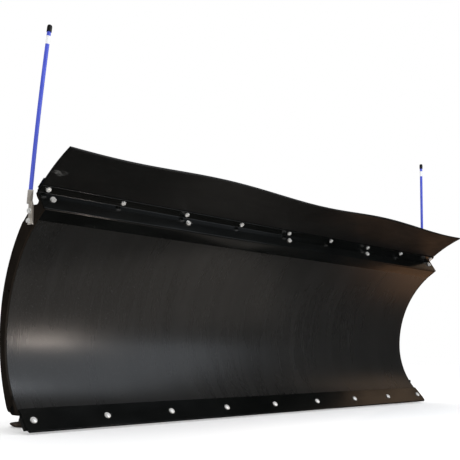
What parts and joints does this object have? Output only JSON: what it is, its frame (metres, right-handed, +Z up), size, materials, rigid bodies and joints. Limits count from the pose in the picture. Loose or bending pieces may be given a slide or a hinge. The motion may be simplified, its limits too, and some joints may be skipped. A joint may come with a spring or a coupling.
{
  "type": "atv plow blade",
  "caption": "Curved steel snow plow blade with bolt-on wear bar, clamped rubber snow deflector, marker rods and height-adjusting skid shoes.",
  "frame": {"origin": "on the ground under the middle of the blade's box", "axes": "+X along the blade to its right end as seen from the front, -Y the way it pushes, +Y towards the vehicle, +Z up"},
  "size_m": [1.697, 0.3846, 0.9436],
  "materials": {
    "satin_black_paint": "satin",
    "gloss_black_paint": "gloss",
    "deflector_rubber": "satin",
    "zinc_plate": "bright",
    "shoe_steel": "worn",
    "marker_blue": "satin",
    "marker_cap_rubber": "matte",
    "marker_white": "gloss"
  },
  "bodies": {
    "root": {"moldboard_sheet": "satin_black_paint", "left_end_plate": "gloss_black_paint", "right_end_plate": "gloss_black_paint", "left_outer_rib": "satin_black_paint", "left_pivot_rib_outer": "satin_black_paint", "left_pivot_rib_inner": "satin_black_paint", "right_pivot_rib_inner": "satin_black_paint", "right_pivot_rib_outer": "satin_black_paint", "right_outer_rib": "satin_black_paint", "rear_cross_tube": "satin_black_paint", "wear_bar_backing": "satin_black_paint", "wear_bar": "gloss_black_paint", "deflector_angle": "gloss_black_paint", "deflector_backing_strip": "gloss_black_paint", "deflector_flap_clamped_edge": "deflector_rubber", "wear_bolt_1": "zinc_plate", "wear_bolt_2": "zinc_plate", "wear_bolt_3": "zinc_plate", "wear_bolt_4": "zinc_plate", "wear_bolt_5": "zinc_plate", "wear_bolt_6": "zinc_plate", "wear_bolt_7": "zinc_plate", "wear_bolt_8": "zinc_plate", "wear_bolt_9": "zinc_plate", "flap_bolt_1": "zinc_plate", "flap_bolt_2": "zinc_plate", "flap_bolt_3": "zinc_plate", "flap_bolt_4": "zinc_plate", "flap_bolt_5": "zinc_plate", "flap_bolt_6": "zinc_plate", "flap_bolt_7": "zinc_plate", "flap_bolt_8": "zinc_plate", "flap_bolt_9": "zinc_plate", "angle_bolt_1": "zinc_plate", "angle_bolt_2": "zinc_plate", "angle_bolt_3": "zinc_plate", "angle_bolt_4": "zinc_plate", "angle_bolt_5": "zinc_plate", "left_marker_bracket": "zinc_plate", "left_marker_rod": "marker_blue", "left_marker_cap": "marker_cap_rubber", "left_marker_bolt_1": "zinc_plate", "left_marker_bolt_2": "zinc_plate", "left_shoe_bracket": "satin_black_paint", "right_marker_bracket": "zinc_plate", "right_marker_rod": "marker_blue", "right_marker_cap": "marker_cap_rubber", "right_marker_bolt_1": "zinc_plate", "right_marker_bolt_2": "zinc_plate", "right_shoe_bracket": "satin_black_paint"},
    "flap": {"deflector_flap": "deflector_rubber"},
    "left_shoe_spacers": {"left_shoe_washers": "zinc_plate"},
    "left_shoe": {"left_skid_shoe": "shoe_steel", "left_shoe_pin": "zinc_plate"},
    "right_shoe_spacers": {"right_shoe_washers": "zinc_plate"},
    "right_shoe": {"right_skid_shoe": "shoe_steel", "right_shoe_pin": "zinc_plate"}
  },
  "joints": [
    {"name": "deflector_flex", "type": "hinge", "parent": "root", "child": "flap", "pos_m": [0, -0.08465, 0.56484], "axis": [1, 0, 0], "range_deg": [-30, 25], "stiffness_Nm_per_rad": 8, "springref_deg": -5.16},
    {"name": "left_shoe_height", "type": "slide", "parent": "root", "child": "left_shoe_spacers", "axis": [0, 0, 1], "range_m": [-0.038, 0]},
    {"name": "left_shoe_swivel", "type": "hinge", "parent": "left_shoe_spacers", "child": "left_shoe", "pos_m": [-0.736, 0.14933, 0], "axis": [0, 0, 1], "continuous": true},
    {"name": "right_shoe_height", "type": "slide", "parent": "root", "child": "right_shoe_spacers", "axis": [0, 0, 1], "range_m": [-0.038, 0]},
    {"name": "right_shoe_swivel", "type": "hinge", "parent": "right_shoe_spacers", "child": "right_shoe", "pos_m": [0.736, 0.14933, 0], "axis": [0, 0, 1], "continuous": true}
  ]
}
